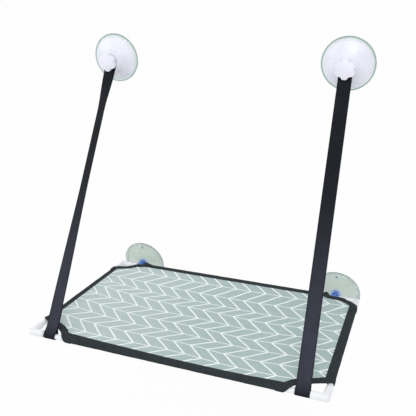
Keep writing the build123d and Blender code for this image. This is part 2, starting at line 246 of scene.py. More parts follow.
class StageSettings(PropertyGroup):
    """Floor and light."""
    floor_drop: length("Floor", "How far the floor lies below the lowest cup", 0.20, 0.0, 2.0)
    floor: paint("Floor colour", "Pale floor", (0.93, 0.93, 0.93))
    dome: FloatProperty(name="Dome light", description="Strength of the even light from all sides",
                        default=0.80)
    key: FloatProperty(name="Key light", description="Strength of the soft light from above",
                       default=15.0, unit="POWER")


def settings():
    """The perch's settings in the open scene."""
    return bpy.context.scene.perch_settings


# Placing: the level frame, its rest place, and the flat cloth laid over the tubes

def at_rest(points):
    """Points of the level frame in millimetres, tilted to rest, in metres."""
    x, y, z = np.moveaxis(np.asarray(points, float), -1, 0)
    c, s = math.cos(TILT), math.sin(TILT)
    return np.stack([x, y * c + z * s - REAR_STANDOFF, z * c - y * s], -1) / 1000


def ease(value, low, high):
    """0 below low, 1 above high, smooth between."""
    t = np.clip((np.asarray(value, float) - low) / (high - low), 0, 1)
    return t * t * (3 - 2 * t)


def ripple(x, y, size):
    """A gentle uneven wave from -1 to 1 over the cloth, for lengths of about this size."""
    a = np.sin(x / size + 1.7 * np.sin(y / size * 0.61 + 0.4))
    b = np.sin(y / size * 1.13 + 1.3 * np.sin(x / size * 0.53 + 2.1))
    return (a + b + 0.6 * np.sin((x + 1.4 * y) / size * 1.9 + 0.9)) / 2.6


def lay(p, q, lift):
    """The flat cloth's point (p, q) laid over the tubes, raised by a lift and humped beside the collars.
    p runs across and q along the perch. Past the crest of a tube the cloth turns down round it."""
    p, q, lift = np.broadcast_arrays(*(np.asarray(v, float) for v in (p, q, lift)))
    radius = CLOTH_RADIUS + lift
    across = np.clip(np.abs(p) / HALF_WIDTH, 0, 1)
    along = np.clip((q + DEPTH / 2) / (DEPTH / 2), -1, 1)
    drop = settings().sling.sag * 1000 * (1 - across ** 2) ** 1.5 * (1 - along ** 2) ** 1.5
    inside = np.maximum(across, np.abs(along)) < 1
    crease = CREASE_HEIGHT * ripple(p, q, CREASE_LENGTH) * (1 - across ** 4) * (1 - along ** 4)
    x, y, z = p.copy(), q.copy(), radius - drop + np.where(inside, crease, 0)
    side, front, rear = (past / CLOTH_RADIUS for past in (np.abs(p) - HALF_WIDTH, -DEPTH - q, q))
    x = np.where(side > 0, np.sign(p) * (HALF_WIDTH + radius * np.sin(side)), x)
    y = np.where(front > 0, -DEPTH - radius * np.sin(front), y)
    y = np.where(rear > 0, radius * np.sin(rear), y)
    for past in (side, front, rear):
        z = np.where(past > 0, radius * np.cos(past), z)
    near = 1 - ease(np.abs(np.abs(p) - HUMP_CENTRE), HUMP_HALF_WIDTH, HUMP_HALF_WIDTH + HUMP_FADE)
    near = np.where(q > -HUMP_RADIUS, near * (1 - ease(q, 0, HUMP_END)), 0)
    hump = np.sqrt(np.maximum((HUMP_RADIUS + lift) ** 2 - y ** 2, 0))
    z = z + near * np.maximum(hump - z, 0)
    return np.stack([x, y, z], -1)


# Meshes

def new_piece(name, points, faces, uvs, finishes, face_finish=None, sharp=35):
    """A piece from its points in metres, its faces, one UV for each point and its materials."""
    mesh = bpy.data.meshes.new(name)
    mesh.from_pydata([tuple(p) for p in points], [], [tuple(int(i) for i in f) for f in faces])
    layer = mesh.uv_layers.new(name="UVMap")
    flat = np.asarray(uvs, float)[[loop.vertex_index for loop in mesh.loops]]
    layer.data.foreach_set("uv", flat.astype(np.float32).ravel())
    for finish in finishes:
        mesh.materials.append(finish)
    if face_finish is not None:
        mesh.polygons.foreach_set("material_index", np.asarray(face_finish, np.int32))
    mesh.polygons.foreach_set("use_smooth", np.ones(len(mesh.polygons), bool))
    mesh.set_sharp_from_angle(angle=math.radians(sharp))
    mesh.validate()
    piece = bpy.data.objects.new(name, mesh)
    bpy.context.scene.collection.objects.link(piece)
    return piece


class Cloth:
    """Collects sheets of cloth, each a grid of middle points with a thickness, into one mesh."""

    def __init__(self):
        self.points, self.faces, self.uvs = [], [], []

    def add(self, grid, uv, thickness):
        """Adds a grid of middle points as a closed shell. thickness is one number, or one for
        each column."""
        grid, uv = np.asarray(grid, float), np.asarray(uv, float)
        rows, columns = grid.shape[:2]
        along = np.gradient(grid, axis=0)
        across = np.gradient(grid, axis=1)
        normal = np.cross(along, across)
        normal /= np.maximum(np.linalg.norm(normal, axis=-1, keepdims=True), 1e-12)
        half = np.broadcast_to(np.asarray(thickness, float) / 2, (rows, columns))[..., None] * normal
        first = len(self.points)
        second = first + rows * columns
        self.points += [*(grid + half).reshape(-1, 3), *(grid - half).reshape(-1, 3)]
        self.uvs += [*uv.reshape(-1, 2), *uv.reshape(-1, 2)]
        place = np.arange(rows * columns).reshape(rows, columns)
        a, b, c, d = place[:-1, :-1], place[1:, :-1], place[1:, 1:], place[:-1, 1:]
        quads = np.stack([a, b, c, d], -1).reshape(-1, 4)
        self.faces += [*(first + quads), *(second + quads[:, ::-1])]
        border = [*place[0, :-1], *place[:-1, -1], *place[-1, :0:-1], *place[:0:-1, 0]]
        for here, there in zip(border, border[1:] + border[:1]):
            self.faces.append((first + here, first + there, second + there, second + here))

    def piece(self, name, finishes, mirrored=False, **options):
        """The collected cloth as a piece, or its mirror image about the YZ plane."""
        points, faces = np.array(self.points), self.faces
        if mirrored:
            points, faces = points * (-1, 1, 1), [f[::-1] for f in faces]
        return new_piece(name, points, faces, self.uvs, finishes, **options)


def measure(points):
    """The distance along a line of points, starting at 0."""
    steps = np.linalg.norm(np.diff(points, axis=0), axis=1)
    return np.concatenate([[0], np.cumsum(steps)])


def resample(points, step):
    """A line of points with even steps of about this length."""
    points = np.asarray(points, float)
    place = measure(points)
    wanted = np.linspace(0, place[-1], max(3, int(round(place[-1] / step)) + 1))
    return np.stack([np.interp(wanted, place, points[:, k]) for k in range(points.shape[1])], 1)


def soften(points, rounds):
    """Rounds off the corners of a line and keeps its ends."""
    points = np.array(points, float)
    for _ in range(rounds):
        points[1:-1] = (points[:-2] + 2 * points[1:-1] + points[2:]) / 4
    return points


def finished(piece, body, slot, *nodes):
    """Lets a piece ride on its body, in place of its CAD nodes. slot is not used."""
    if nodes:
        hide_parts(*nodes)
    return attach(piece, body)


# Finishes

def by_node(operation):
    """Arithmetic on the outputs of nodes, by a node of its own."""
    return lambda *values: values[0].nodes.calc(operation, *values)


class Value:
    """An output of a node, for use in plain arithmetic."""
    __add__ = by_node("ADD")
    __sub__ = by_node("SUBTRACT")
    __mul__ = by_node("MULTIPLY")
    __truediv__ = by_node("DIVIDE")
    __pow__ = by_node("POWER")
    __abs__ = by_node("ABSOLUTE")

    def __init__(self, nodes, socket):
        self.nodes, self.socket = nodes, socket


class Nodes:
    """Builds the nodes of a material or a world."""

    def __init__(self, owner):
        owner.use_nodes = True
        self.tree = owner.node_tree

    def put(self, socket, value):
        """Links a socket to the output of a node, or gives it a number or a colour."""
        if isinstance(value, Value):
            self.tree.links.new(value.socket, socket)
        elif socket.type == "RGBA":
            socket.default_value = (*value, 1)
        else:
            socket.default_value = value

    def node(self, kind, inputs, **choices):
        made = self.tree.nodes.new("ShaderNode" + kind)
        for name, value in choices.items():
            setattr(made, name, value)
        for place, value in inputs.items():
            self.put(made.inputs[place], value)
        return made

    def get(self, kind, inputs, output=0, **choices):
        return Value(self, self.node(kind, inputs, **choices).outputs[output])

    def calc(self, operation, *values):
        return self.get("Math", dict(enumerate(values)), operation=operation)

    def ramp(self, value, low, high, start=0.0, end=1.0):
        """A smooth step from start, where the value is low, to end, where it is high."""
        inputs = {0: value, 1: low, 2: high, 3: start, 4: end}
        return self.get("MapRange", inputs, interpolation_type="SMOOTHSTEP")

    def mix(self, share, first, second, blend="MIX"):
        return self.get("Mix", {0: share, 6: first, 7: second}, 2, data_type="RGBA", blend_type=blend)

    def noise(self, vector, scale, detail, roughness=0.5):
        inputs = {"Vector": vector, "Scale": scale, "Detail": detail, "Roughness": roughness}
        return self.get("TexNoise", inputs)

    def uneven(self, vector, scale, detail, size):
        """Noise about zero, for lengths of this size."""
        return (self.noise(vector, scale, detail) - 0.5) * size

    def place(self, kind="Object"):
        return self.get("TexCoord", {}, kind)

    def split(self, vector):
        return [Value(self, output) for output in self.node("SeparateXYZ", {0: vector}).outputs]

    def flat(self):
        """The place on the flat cloth, in metres, as a vector and as two numbers."""
        uv = self.place("UV")
        return (uv, *self.split(uv)[:2])

    def stretch(self, vector, scale):
        return self.get("Mapping", {"Vector": vector, "Scale": scale})

    def bump(self, height, distance, strength):
        return self.get("Bump", {"Height": height, "Distance": distance, "Strength": strength})

    def yarns(self, value, pitch):
        """Height of round yarns side by side, from 0 to 1."""
        return abs(self.calc("SINE", value * (math.pi / pitch)))

    def seen(self):
        """1 for what the camera sees, also by a reflection or through a clear piece, 0 for light."""
        path = self.node("LightPath", {}).outputs
        camera, glossy, clear = (Value(self, path[f"Is {ray} Ray"])
                                 for ray in ("Camera", "Glossy", "Transmission"))
        return self.calc("MAXIMUM", camera, self.calc("MAXIMUM", glossy, clear))


class Finish(Nodes):
    """A material. Numbers that are the same all over stand on the shader's own sockets."""

    def __init__(self, name, **constants):
        self.material = bpy.data.materials.new(name)
        super().__init__(self.material)
        self.shader = self.tree.nodes["Principled BSDF"]
        for socket, value in constants.items():
            self.shader.inputs[socket.replace("_", " ")].default_value = value

    def finish(self, colour, roughness, normal=None):
        """Gives the shader what varies over the piece, and returns the material."""
        self.put(self.shader.inputs["Base Color"], colour)
        self.put(self.shader.inputs["Roughness"], roughness)
        if normal:
            self.put(self.shader.inputs["Normal"], normal)
        return self.material


def weave(f, u, v, pitch):
    """Height of a plain weave from 0 to 1: warp and weft pass over each other in turn."""
    steps = f.calc("FLOOR", u / pitch) + f.calc("FLOOR", v / pitch)
    turn = f.calc("FLOORED_MODULO", steps, 2.0)
    return f.get("Mix", {0: turn, 2: f.yarns(u, pitch), 3: f.yarns(v, pitch)}, data_type="FLOAT")


def print_finish():
    """Cloth printed with a herringbone of thin pale lines, drawn a little unevenly."""
    s = settings().sling
    f = Finish("printed_cloth", Specular_IOR_Level=0.25, Sheen_Weight=0.15, Sheen_Roughness=0.5)
    uv, u, v = f.flat()

    # Rows: they wave from side to side except along the rear, and one of the rear rows is wider.
    wave = f.calc("COSINE", (u + 0.010) * (2 * math.pi / 0.280))
    sway = (u * 0.025 - wave * 0.0036) * f.ramp(v, -0.140, -0.080, 1.0, 0.0)
    wide_row = f.ramp(v, -0.150, -0.115) * f.ramp(v, -0.080, -0.045, 0.006, 0.0)
    level = v + f.uneven(uv, 28.0, 1.5, 0.0035) + (sway + wide_row)
    row = (level - s.row_start) / s.row_height

    # Slanted lines: they turn back in each row, and lean slightly on the way to the front.
    swing = f.calc("PINGPONG", row + 1.0, 1.0)
    lean = f.uneven(uv, 45.0, 1.0, 0.0025) + v * -0.0091
    slant = (u + lean - s.row_shift) / s.row_pitch - swing * 1.13

    def to_whole(value):
        return abs(f.calc("FRACT", value + 0.5) - 0.5)

    steep = s.row_height / math.hypot(s.row_height, s.row_pitch)
    edge = f.uneven(uv, 160.0, 2.0, 0.0014)
    half = s.line_width / 2
    zigzag = f.ramp(to_whole(slant) * (s.row_pitch * steep) + edge, half * 0.72, half * 1.3, 1.0, 0.0)
    cross = f.ramp(to_whole(row) * s.row_height + edge, half * 0.35, half * 1.1, 0.85, 0.0)
    line = f.calc("MAXIMUM", zigzag, cross) * f.ramp(f.noise(uv, 320.0, 3.0), 0.25, 0.6, 0.9, 1.0)

    # Ground: mottled, grained, and paler to the left with painted light
    mottle = f.ramp(f.noise(uv, 75.0, 4.0, 0.65), 0.35, 0.68)
    grain = f.ramp(f.noise(uv, 900.0, 2.0), 0.3, 0.7, 0.94, 1.04)
    ground = f.mix(1.0, f.mix(mottle, s.ground, s.ground_warm), grain, "MULTIPLY")
    # painted light: a pale wash over the left side of the panel
    ground = f.mix(f.ramp(u, 0.10, -0.26, 0.0, 0.18), ground, s.line)
    yarn = weave(f, u, v, PANEL_WEAVE)
    height = yarn * 0.5 + f.noise(uv, 60.0, 3.0) * 0.9
    return f.finish(f.mix(line, ground, s.line), f.ramp(yarn, 0.0, 1.0, 0.86, 0.7),
                    f.bump(height, 0.00022, 0.7))


def reverse_finish():
    """The unprinted side of the panel, faintly mottled."""
    pale = settings().sling.reverse
    f = Finish("panel_reverse", Specular_IOR_Level=0.25)
    uv, u, v = f.flat()
    yarn = weave(f, u, v, PANEL_WEAVE)
    shade = f.mix(f.ramp(f.noise(uv, 30.0, 4.0), 0.3, 0.7), pale, tint(pale, 0.86))
    return f.finish(shade, f.ramp(yarn, 0.0, 1.0, 0.9, 0.75), f.bump(yarn, 0.00012, 0.8))


def black_cloth_finish(name, pitch, slope):
    """Matt black cloth: a fine twill with painted shade between its yarns, so their tops stand paler, and
    paler dusty patches.
    """
    black = settings().sling.black
    f = Finish(name, Specular_IOR_Level=0.03)
    uv, u, v = f.flat()
    yarn = (f.yarns(u + v * slope, pitch) + weave(f, u, v, pitch * 0.5)) * 0.5
    wear = f.ramp(f.noise(uv, 55.0, 5.0, 0.65), 0.35, 0.75) * 0.55
    # painted shade: the low places of the weave take a darker copy of the black; the noise patches are
    # paler dust
    colour = f.mix(wear, f.mix(yarn, tint(black, 0.62), black), tint(black, 1.35))
    height = yarn + f.noise(uv, 120.0, 3.0) * 0.8
    return f.finish(colour, f.ramp(yarn, 0.0, 1.0, 0.9, 0.68), f.bump(height, 0.00025, 0.8))


def webbing_finish():
    """Flat woven webbing: ribs across its width, cut by fine warp yarns, and tight dark selvedges. Painted
    shade darkens the valleys between the yarns, and painted light brightens the run that faces the lamp.
    """
    s = settings().straps
    f = Finish("ribbed_webbing", Specular_IOR_Level=0.04)
    uv, u, v = f.flat()
    warp_pitch = s.rib * 0.9
    offset = f.calc("FLOOR", v / warp_pitch) * 0.5
    yarn = f.yarns(u / s.rib + offset, 1) * 0.65 + f.yarns(v, warp_pitch) * 0.35
    edge = f.ramp(abs(v), s.width / 2 - 0.0022, s.width / 2 - 0.0012) * 0.5
    # painted shade: a darker copy of the webbing for the valleys between the yarns; the selvedges take it
    # too
    dark = tint(s.web, 0.55)
    # painted light: the run of the strap towards the front tube is lighter, and it turns dark again where
    # it wraps round the tube
    lit = f.ramp(u, 0.20, 0.50) * f.ramp(u, 0.555, 0.585, 1.0, 0.0)
    tone = f.mix(yarn, dark, f.mix(lit, s.web, s.web_lit))
    wear = f.ramp(f.noise(uv, 40.0, 4.0, 0.6), 0.4, 0.75) * 0.35
    tone = f.mix(wear, tone, tint(s.web, 1.7))
    return f.finish(f.mix(edge, tone, dark), f.ramp(yarn, 0.0, 1.0, 0.72, 0.45),
                    f.bump(yarn, 0.0003, 0.8))


def white_finish(name, colour, roughness):
    """White plastic: faint flow marks, a fine satin grain and light rub marks."""
    f = Finish(name, Specular_IOR_Level=0.5, IOR=1.49)
    place = f.place()
    flow = f.ramp(f.noise(place, 30.0, 3.0), 0.3, 0.7)
    rub = f.ramp(f.noise(f.stretch(place, (1.0, 3.5, 7.0)), 260.0, 4.0, 0.7), 0.58, 0.74)
    shade = f.mix(rub * 0.25, f.mix(flow, colour, tint(colour, 0.92)), tint(colour, 0.9))
    grain = f.noise(place, 1400.0, 2.0)
    rough = f.ramp(rub, 0.0, 1.0, roughness, roughness + 0.16) + grain * 0.06
    return f.finish(shade, rough, f.bump(grain, 0.00004, 0.5))


def clear_finish(name, colour, rim, rim_shade_radii, centre, roughness, weight, core=None):
    """Clear moulded plastic, faintly hazy. Between two radii about the centre of its cup, in metres, it
    takes a painted rim shade for the darker edge that clear plastic shows from the side. core is the
    colour of its neck, tinted by the stem inside."""
    f = Finish(name, Transmission_Weight=weight, IOR=1.45, Specular_IOR_Level=0.5)
    place = f.place()
    x, _, z = f.split(place)
    reach = f.calc("SQRT", (abs(x) - centre[0]) ** 2.0 + (z - centre[1]) ** 2.0)
    haze = f.ramp(f.noise(place, 38.0, 4.0), 0.35, 0.72)
    body = f.mix(haze * 0.4, colour, tint(colour, 0.93))
    if core is not None:
        body = f.mix(f.ramp(reach, *NECK_RADII, 1.0, 0.0), body, core)
    # painted shade: the band between the two radii darkens to the rim colour, for the edge of clear
    # plastic seen from the side
    shade = f.mix(f.ramp(reach, *rim_shade_radii), body, rim)
    return f.finish(shade, haze * 0.10 + roughness, f.bump(f.noise(place, 70.0, 2.0), 0.00004, 0.3))


def steel_finish():
    """Plated steel with turning marks and dull patches."""
    steel = settings().fittings.steel
    f = Finish("plated_steel", Metallic=1.0)
    place = f.place()
    turn = f.noise(f.stretch(place, (1.0, 40.0, 1.0)), 90.0, 3.0)
    dull = f.ramp(f.noise(place, 140.0, 4.0), 0.35, 0.7)
    shade = f.mix(dull, steel, tint(steel, 0.75))
    return f.finish(shade, f.ramp(dull, 0.0, 1.0, 0.28, 0.45), f.bump(turn, 0.00005, 0.6))


def nub_finish():
    """Tinted soft plastic with a fine grain."""
    nub = settings().fittings.nub
    f = Finish("pull_nub", Specular_IOR_Level=0.4, Sheen_Weight=0.2)
    grain = f.noise(f.place(), 2600.0, 2.0)
    return f.finish(f.mix(grain, tint(nub, 0.7), nub), f.ramp(grain, 0.2, 0.8, 0.8, 0.55),
                    f.bump(grain, 0.0001, 0.8))


def redress(finish, *nodes):
    """Gives CAD nodes their finish."""
    for node in nodes:
        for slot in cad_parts[node].material_slots:
            slot.material = finish


# Sling

def cut_at(table, angle):
    """Where a cut ends the cloth at an angle from a tube's crest, in degrees. The inner side is like
    the outer."""
    angles, places = np.array(table, float).T
    angle = np.clip(np.asarray(angle, float), 0, 360)
    return np.interp(np.where(angle > 180, 360 - angle, angle), angles, places)


def wrapped_cut(corner):
    """The edge of a corner cut on the flat cloth, as on the left side: from under the end tube, over
    its crest, across the corner, over the side tube and down to its underside."""
    cut = CORNERS[corner]
    crest, out = (0.0, 1) if corner.startswith("rear") else (-DEPTH, -1)
    end_angles = np.arange(180, 4, -6)
    side_angles = np.arange(6, 181, 6)
    end_run = crest + out * CLOTH_RADIUS * np.radians(end_angles)
    side_run = -HALF_WIDTH - CLOTH_RADIUS * np.radians(side_angles)
    end_part = np.stack([cut_at(cut["end"], end_angles), end_run], 1)
    side_part = np.stack([side_run, cut_at(cut["side"], side_angles)], 1)
    return soften(resample(np.concatenate([end_part, cut["middle"], side_part]), 1.5), 4)


def inward(line, rear):
    """Unit normals of a cut edge on the flat cloth, towards the cloth, turned gently at corners."""
    heading = soften(np.gradient(line, axis=0), 10)
    heading /= np.linalg.norm(heading, axis=1, keepdims=True)
    right = np.stack([heading[:, 1], -heading[:, 0]], 1)
    return -right if rear else right


def past_crest(p, q):
    """How far a flat point lies past the crest of a tube, in radians; below 0 on the panel."""
    return np.maximum(np.maximum(np.abs(p) - HALF_WIDTH, -DEPTH - q), q) / CLOTH_RADIUS


def tape_piece(corner, finish):
    """Binding tape folded over one corner cut and taken round both tubes."""
    s = settings().sling
    rear, mirrored = corner.startswith("rear"), corner.endswith("right")
    width, thick = s.tape_width * 1000, s.tape_cloth * 1000
    edge = wrapped_cut(corner)
    normal = inward(edge, rear)
    run = measure(edge)
    over_sleeve = TAPE_LIFT + TAPE_RISE
    shares = np.array((1.0, 0.93, 0.75, 0.5, 0.25, 0.08, 0.0))
    # The tape climbs onto a sleeve's lap and lies close to the sleeve again past the crest.
    beyond = past_crest(*edge.T)[:, None]
    lift = TAPE_LIFT + TAPE_RISE * ease(beyond, -2.3, -1.7) - over_sleeve * ease(beyond, 0.5, 1.2)
    under = -TAPE_LIFT - 0.3 * ease(beyond, -0.3, 0.3)
    reach = width * (1 - 0.8 * ease(beyond, -0.9, 0.1)) * shares[::-1]
    swell = 0.18 * np.sin(math.pi * shares) + 0.12 * ripple(run[:, None], shares * 9, 2.4)
    outer, fold = np.broadcast_to(width * shares, swell.shape), np.ones_like(beyond)
    aside = np.hstack([outer + TAPE_GAP, -TAPE_LIFT * fold, reach + TAPE_GAP])
    raised = np.hstack([lift + swell, lift * 0.45 + under * 0.55, under + 0 * reach])
    over_fold = np.hstack([outer, -1.5 * fold, -3 - reach])
    p, q = np.moveaxis(edge[:, None] + normal[:, None] * aside[..., None], -1, 0)
    uv = np.stack(np.broadcast_arrays(run[:, None], over_fold), -1)
    cloth = Cloth()
    cloth.add(at_rest(lay(p, q, raised)), uv / 1000, thick / 1000)
    add_inner_bands(cloth, corner, width, thick)
    piece = cloth.piece(f"{corner}_binding", [finish], mirrored)
    return finished(piece, "perch", "black_tape", f"{corner}_tape")


def add_inner_bands(cloth, corner, width, thick):
    """The tape on the inner sides of the two tubes, below the panel."""
    crest, out, into = (0.0, 1, -1) if corner.startswith("rear") else (-DEPTH, -1, 1)
    radius = SLEEVE_RADIUS + thick / 2 + 0.05
    degrees = np.arange(176, 338, 6)[:, None]
    turned = np.radians(degrees)
    up, aside = radius * np.cos(turned), radius * np.sin(turned)
    across = width * np.linspace(0, 1, 5)
    for kind in ("end", "side"):
        start = cut_at(CORNERS[corner][kind], degrees)
        if kind == "end":
            grid = start + across, crest + out * aside, up
        else:
            grid = -HALF_WIDTH - aside, start + into * across, up
        uv = np.stack(np.broadcast_arrays(radius * turned, across), -1)
        cloth.add(at_rest(np.stack(np.broadcast_arrays(*grid), -1)), uv / 1000, thick / 1000)


class PERCH_OT_sling_panel(Operator):
    """Lay the printed panel between the four tubes"""
    bl_idname = "perch.sling_panel"
    bl_label = "Printed panel"

    def execute(self, context):
        outline = panel_outline()
        flat = [Vector(point) for point in [*outline, *panel_grid(outline)]]
        made = delaunay_2d_cdt(flat, [], [list(range(len(outline)))], 1, 1e-4)
        points, faces = np.array([tuple(point) for point in made[0]]), made[2]
        half = settings().sling.panel_cloth * 500
        shell = [at_rest(lay(points[:, 0], points[:, 1], lift)) for lift in (half, -half)]
        count = len(points)
        ring = border_loop(faces)
        every = [*faces, *[[count + i for i in face[::-1]] for face in faces]]
        every += [(b, a, count + a, count + b) for a, b in ring]
        kinds = [0] * len(faces) + [1] * len(faces) + [0] * len(ring)
        uv = np.concatenate([points, points]) / 1000
        piece = new_piece("sling_cloth", np.concatenate(shell), every, uv,
                          [print_finish(), reverse_finish()], kinds)
        finished(piece, "perch", "printed_cloth", "sling_panel")
        return {"FINISHED"}


def inside_outline(point, outline):
    """Whether a flat point lies inside a closed outline."""
    x, y = point
    a, b = outline, np.roll(outline, -1, axis=0)
    crossing = (a[:, 1] > y) != (b[:, 1] > y)
    with np.errstate(divide="ignore", invalid="ignore"):
        where = a[:, 0] + (y - a[:, 1]) * (b[:, 0] - a[:, 0]) / (b[:, 1] - a[:, 1])
    return bool(np.sum(crossing & (x < where)) % 2)


def panel_outline():
    """The printed panel's outline on the flat cloth, with the corner cuts."""
    side, front, back = PANEL_SIDE, PANEL_FRONT, PANEL_BACK
    edges = []
    for corner in CORNERS:
        line = wrapped_cut(corner)
        inside = line[:, 1] > front if corner.startswith("front") else line[:, 1] < back
        line = resample(line[(line[:, 0] > -side) & inside], 4.0)
        edges.append(line * (-1, 1) if corner.endswith("right") else line)
    front_left, front_right, rear_left, rear_right = edges

    def between(start, end, count):
        return np.linspace(start, end, count)[1:-1]

    outline = [(p, front) for p in between(front_right[0, 0], front_left[0, 0], 90)]
    outline += [*front_left, *((-side, q) for q in between(front_left[-1, 1], rear_left[-1, 1], 50))]
    outline += [*rear_left[::-1], *((p, back) for p in between(rear_left[0, 0], rear_right[0, 0], 80))]
    outline += [*rear_right, *((side, q) for q in between(rear_right[-1, 1], front_right[-1, 1], 50))]
    return np.array([*outline, *front_right[::-1]])


def panel_grid(outline):
    """Staggered points inside the outline, clear of it."""
    half = PANEL_SPACING / 2
    inner = []
    for number, q in enumerate(np.arange(PANEL_FRONT + half, PANEL_BACK, PANEL_SPACING)):
        for p in np.arange(-PANEL_SIDE + half + half * (number % 2), PANEL_SIDE, PANEL_SPACING):
            near = np.hypot(*(outline - (p, q)).T).min() <= PANEL_CLEAR
            if not near and inside_outline((p, q), outline):
                inner.append((p, q))
    return inner


def border_loop(faces):
    """The directed edges of a mesh that belong to one face only."""
    edges = dict.fromkeys((a, b) for face in faces for a, b in zip(face, [*face[1:], face[0]]))
    return [(a, b) for a, b in edges if (b, a) not in edges]


def sleeve_section(flap, flap_height):
    """Section of a sleeve round a tube: (towards the panel, up, angle from the crest in degrees). It
    starts at the edge that laps over the print, goes round the outside and ends under the panel."""
    middle = SLEEVE_RADIUS - settings().sling.sleeve_cloth * 500
    section = [(flap * (1 - share), flap_height + 0.1 * math.sin(share * 3), 0.0)
               for share in np.linspace(0, 1, 6)[:-1]]
    for angle in np.linspace(0, SLEEVE_END, SLEEVE_TURNS):
        radius = middle + SLEEVE_SWELL * (1 - ease(angle, 0.15, 1.0))
        section.append((-radius * math.sin(angle), radius * math.cos(angle), math.degrees(angle)))
    return section


def sleeve_ends(corners, axis, angle):
    """Where a sleeve starts and ends along its tube, at an angle from the tube's crest."""
    kind, sign = ("end", -1) if axis == "X" else ("side", 1)
    start, end = (float(cut_at(CORNERS[corner][kind], angle)) for corner in corners)
    return start + SLEEVE_TUCK, sign * end - SLEEVE_TUCK


def sleeve_piece(name, section, corners, axis, crest, finish, lap=None):
    """A sleeve swept along a tube between two corners. lap gives the share of the section's lap at
    each place along the tube."""
    run = measure(np.array(section)[:, :2])
    towards = 1 if crest < 0 else -1
    grid, uv = [], []
    for (out, up, angle), along in zip(section, run):
        places = np.linspace(*sleeve_ends(corners, axis, angle), 110)
        wave = 0.16 * ripple(places, along * 1.6, 7.0) + 0.10 * ripple(places + 40, along * 3.0, 2.9)
        wave *= ease(along, 0, 6)
        reach = math.hypot(out, up)
        share = lap(places) if lap and out > 0 and angle == 0 else 1.0
        out_wave, up_wave = out * share + wave * out / reach, up + wave * up / reach
        row = np.stack([places, crest + towards * out_wave, up_wave], 1)
        grid.append(row if axis == "X" else row[:, (1, 0, 2)])
        uv.append(np.stack([places, np.full_like(places, along)], 1))
    cloth = Cloth()
    cloth.add(at_rest(np.array(grid)), np.array(uv) / 1000, settings().sling.sleeve_cloth)
    piece = cloth.piece(f"{name}_cloth", [finish])
    return finished(piece, "perch", "black_cloth", name)


class PERCH_OT_sleeves(Operator):
    """Sew the four black sleeves round the tubes"""
    bl_idname = "perch.sleeves"
    bl_label = "Sleeves"

    def execute(self, context):
        s = settings().sling
        twill = black_cloth_finish("black_twill", 0.0011, 0.6)
        over_print = CLOTH_RADIUS + s.panel_cloth * 500 + s.sleeve_cloth * 500
        rear = sleeve_section(s.rear_flap * 1000, over_print - 0.5)
        side = sleeve_section(s.side_flap * 1000, over_print - 0.1)
        places, laps = np.array(FRONT_LAP).T
        front = sleeve_section(laps.max(), over_print - 0.1)
        sleeve_piece("front_sleeve", front, ("front_left", "front_right"), "X", -DEPTH, twill,
                     lambda x: np.interp(x, places, laps / laps.max()))
        sleeve_piece("rear_sleeve", rear, ("rear_left", "rear_right"), "X", 0.0, twill)
        sleeve_piece("left_sleeve", side, ("front_left", "rear_left"), "Y", -HALF_WIDTH, twill)
        sleeve_piece("right_sleeve", side, ("front_right", "rear_right"), "Y", HALF_WIDTH, twill)
        return {"FINISHED"}


class PERCH_OT_tapes(Operator):
    """Fold a tape over each of the four corner cuts"""
    bl_idname = "perch.tapes"
    bl_label = "Corner tapes"

    def execute(self, context):
        finish = black_cloth_finish("binding_tape", 0.0014, 0.0)
        for corner in CORNERS:
            tape_piece(corner, finish)
        return {"FINISHED"}


# Straps

def strap_line():
    """The strap's middle line in the YZ plane, from its top end down the run, round the front tube
    and back up to the end of the sewn layer, and the direction up the run."""
    s = settings().straps
    bend, tube = np.array(STRAP_BEND), np.array(STRAP_TUBE)
    full = np.linalg.norm(bend - tube)
    up = (bend - tube) / full
    front = np.array((-up[1], up[0]))
    radius = LOOP_RADIUS + s.thickness * 500
    touch = math.degrees(math.acos(radius / LOOP_POINT))
    line = [(bend[0], STRAP_TOP), (bend[0], bend[1] + 3)]
    line += [tube + up * along + front * LAYER_OFFSET for along in (full - 3, 60, LAYERS_MEET)]
    for angle in np.radians(np.arange(touch, 361 - touch, 6)):
        line.append(tube + up * radius * math.cos(angle) + front * radius * math.sin(angle))
    sewn_top = SEWN_START + s.overlap * 1000
    line += [tube + up * along - front * LAYER_OFFSET for along in (LAYERS_MEET, sewn_top)]
    return soften(resample(line, 1.5), 3), up


def strap_piece(name, side, twist, finish):
    """One strap of webbing, looped round the front tube and sewn back on itself."""
    s = settings().straps
    line, up = strap_line()
    tube = np.array(STRAP_TUBE)
    run = measure(line)
    full = np.linalg.norm(np.array(STRAP_BEND) - tube)
    height = np.clip((line - tube) @ up / full, 0, 1)
    tube_x = LEFT_TUBE_X if side < 0 else RIGHT_TUBE_X
    x = STUD_X + (tube_x - STUD_X) * (1 - height)
    turned = twist * ease(1 - height, 0.01, 0.17) * (1 - ease(1 - height, 0.40, 0.98))
    turned[run > full] = 0
    heading = soften(np.gradient(line, axis=0), 2)
    heading /= np.linalg.norm(heading, axis=1, keepdims=True)
    columns = np.linspace(-1, 1, 13)
    above = np.clip((line[:, 1] - STUD_HEIGHT) / (STRAP_TOP - STUD_HEIGHT), 0, 0.97)
    narrow = np.where(line[:, 0] > STRAP_BEND[0] - 1, np.sqrt(1 - above ** 2.6), 1)
    wide = np.stack([np.cos(turned), heading[:, 1] * np.sin(turned), -heading[:, 0] * np.sin(turned)], 1)
    wide *= s.width * 500 * narrow[:, None]
    grid = np.column_stack([side * x, line])[:, None] + wide[:, None] * columns[:, None]
    uv = np.stack(np.broadcast_arrays(run[:, None] / 1000, columns * s.width / 2), -1)
    cloth = Cloth()
    cloth.add(grid / 1000, uv, s.thickness * (1 - 0.3 * np.abs(columns) ** 6))
    piece = cloth.piece(f"{name}_webbing", [finish], sharp=50)
    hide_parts(name)
    bend_strap(piece)
    return piece


def bend_strap(piece):
    """Bakes a strap's placing into its points."""
    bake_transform(piece)


